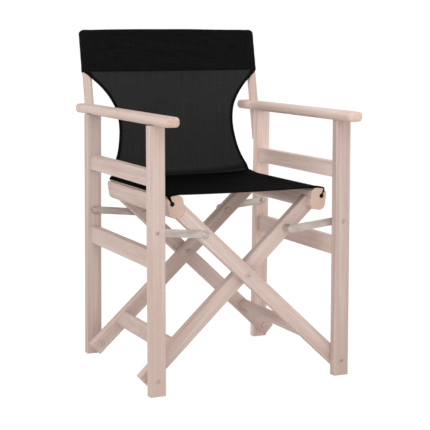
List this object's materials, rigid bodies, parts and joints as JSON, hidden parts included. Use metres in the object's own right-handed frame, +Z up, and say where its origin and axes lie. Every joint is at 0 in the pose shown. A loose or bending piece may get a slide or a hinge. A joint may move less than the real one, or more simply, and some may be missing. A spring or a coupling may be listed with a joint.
{
  "type": "folding chair",
  "caption": "Wooden folding armchair with crossed struts, steel links, a cloth seat and a cloth and mesh back; it closes sideways.",
  "frame": {"origin": "on the floor under the middle of the chair's bounding box", "axes": "+Z is up, +Y points to the back of the chair and +X points to the viewer's right when the chair is seen from the front"},
  "size_m": [0.5494, 0.65, 0.8656],
  "materials": {
    "beech": "satin",
    "steel": "satin",
    "canvas": "matte",
    "mesh": "matte",
    "cord_rod": "matte"
  },
  "bodies": {
    "right_side": {"front_leg_right": "beech", "rear_leg_right": "beech", "armrest_right": "beech", "upper_side_rail_right": "beech", "lower_side_rail_right": "beech", "back_post_right": "beech", "arm_dowels_right": "beech", "post_screw_right": "steel", "pivot_bolts_right": "steel", "pivot_nuts_right": "steel", "link_bolts_right": "steel", "link_nuts_right": "steel", "back_sleeve_right": "canvas", "pivot_washers_right": "steel", "back_band": "canvas", "back_mesh": "mesh", "back_binding": "canvas"},
    "outer_frame": {"seat_rail_left": "beech", "strut_front_outer": "beech", "strut_rear_outer": "beech", "stretcher_outer": "beech", "cross_bolts": "steel", "cross_nuts": "steel", "cross_washers": "steel", "link_studs_outer": "steel", "seat_hem_left": "canvas", "seat_rod_left": "cord_rod"},
    "inner_frame": {"seat_rail_right": "beech", "strut_front_inner": "beech", "strut_rear_inner": "beech", "stretcher_inner": "beech", "link_studs_inner": "steel", "link_spacers_inner": "steel", "seat_hem_right": "canvas", "seat_rod_right": "cord_rod"},
    "left_side": {"front_leg_left": "beech", "rear_leg_left": "beech", "armrest_left": "beech", "upper_side_rail_left": "beech", "lower_side_rail_left": "beech", "back_post_left": "beech", "arm_dowels_left": "beech", "post_screw_left": "steel", "pivot_bolts_left": "steel", "pivot_nuts_left": "steel", "link_bolts_left": "steel", "link_nuts_left": "steel", "back_sleeve_left": "canvas", "pivot_spacers_left": "steel"},
    "link_front_right": {"link_front_right": "steel"},
    "link_rear_right": {"link_rear_right": "steel"},
    "link_front_left": {"link_front_left": "steel"},
    "link_rear_left": {"link_rear_left": "steel"},
    "seat_left": {"seat_cloth_left": "canvas"},
    "seat_right": {"seat_cloth_right": "canvas"}
  },
  "joints": [
    {"name": "fold", "type": "hinge", "parent": "right_side", "child": "outer_frame", "pos_m": [0.247, 0, 0.037], "axis": [0, 1, 0], "range_deg": [0, 30], "deforming": ["back_band", "back_mesh", "back_binding"]},
    {"name": "cross", "type": "hinge", "parent": "outer_frame", "child": "inner_frame", "pos_m": [0, 0, 0.269], "axis": [0, 1, 0], "range_deg": [-60, 0]},
    {"name": "left_foot", "type": "hinge", "parent": "inner_frame", "child": "left_side", "pos_m": [-0.247, 0, 0.037], "axis": [0, 1, 0], "range_deg": [0, 30]},
    {"name": "link_front_right_pivot", "type": "hinge", "parent": "right_side", "child": "link_front_right", "pos_m": [0.247, 0, 0.39087], "axis": [0, 1, 0], "range_deg": [0, 72.72]},
    {"name": "link_rear_right_pivot", "type": "hinge", "parent": "right_side", "child": "link_rear_right", "pos_m": [0.247, 0, 0.39087], "axis": [0, 1, 0], "range_deg": [0, 72.72]},
    {"name": "link_front_left_pivot", "type": "hinge", "parent": "left_side", "child": "link_front_left", "pos_m": [-0.247, 0, 0.39087], "axis": [0, 1, 0], "range_deg": [-72.72, 0]},
    {"name": "link_rear_left_pivot", "type": "hinge", "parent": "left_side", "child": "link_rear_left", "pos_m": [-0.247, 0, 0.39087], "axis": [0, 1, 0], "range_deg": [-72.72, 0]},
    {"name": "seat_left_bend", "type": "hinge", "parent": "outer_frame", "child": "seat_left", "pos_m": [-0.18424, 0, 0.47574], "axis": [0, 1, 0], "range_deg": [0, 42.25], "deforming": ["seat_cloth_left"]},
    {"name": "seat_right_bend", "type": "hinge", "parent": "inner_frame", "child": "seat_right", "pos_m": [0.18424, 0, 0.47574], "axis": [0, 1, 0], "range_deg": [-42.25, 0], "deforming": ["seat_cloth_right"]}
  ],
  "couplings": [
    {"joint": "cross", "follows": "fold", "ratio": -2},
    {"joint": "left_foot", "follows": "fold", "ratio": 1},
    {"joint": "link_front_right_pivot", "follows": "fold", "ratio": 2.4238},
    {"joint": "link_rear_right_pivot", "follows": "fold", "ratio": 2.4238},
    {"joint": "link_front_left_pivot", "follows": "fold", "ratio": -2.4238},
    {"joint": "link_rear_left_pivot", "follows": "fold", "ratio": -2.4238},
    {"joint": "seat_left_bend", "follows": "fold", "ratio": 1.4081},
    {"joint": "seat_right_bend", "follows": "fold", "ratio": -1.4081}
  ]
}
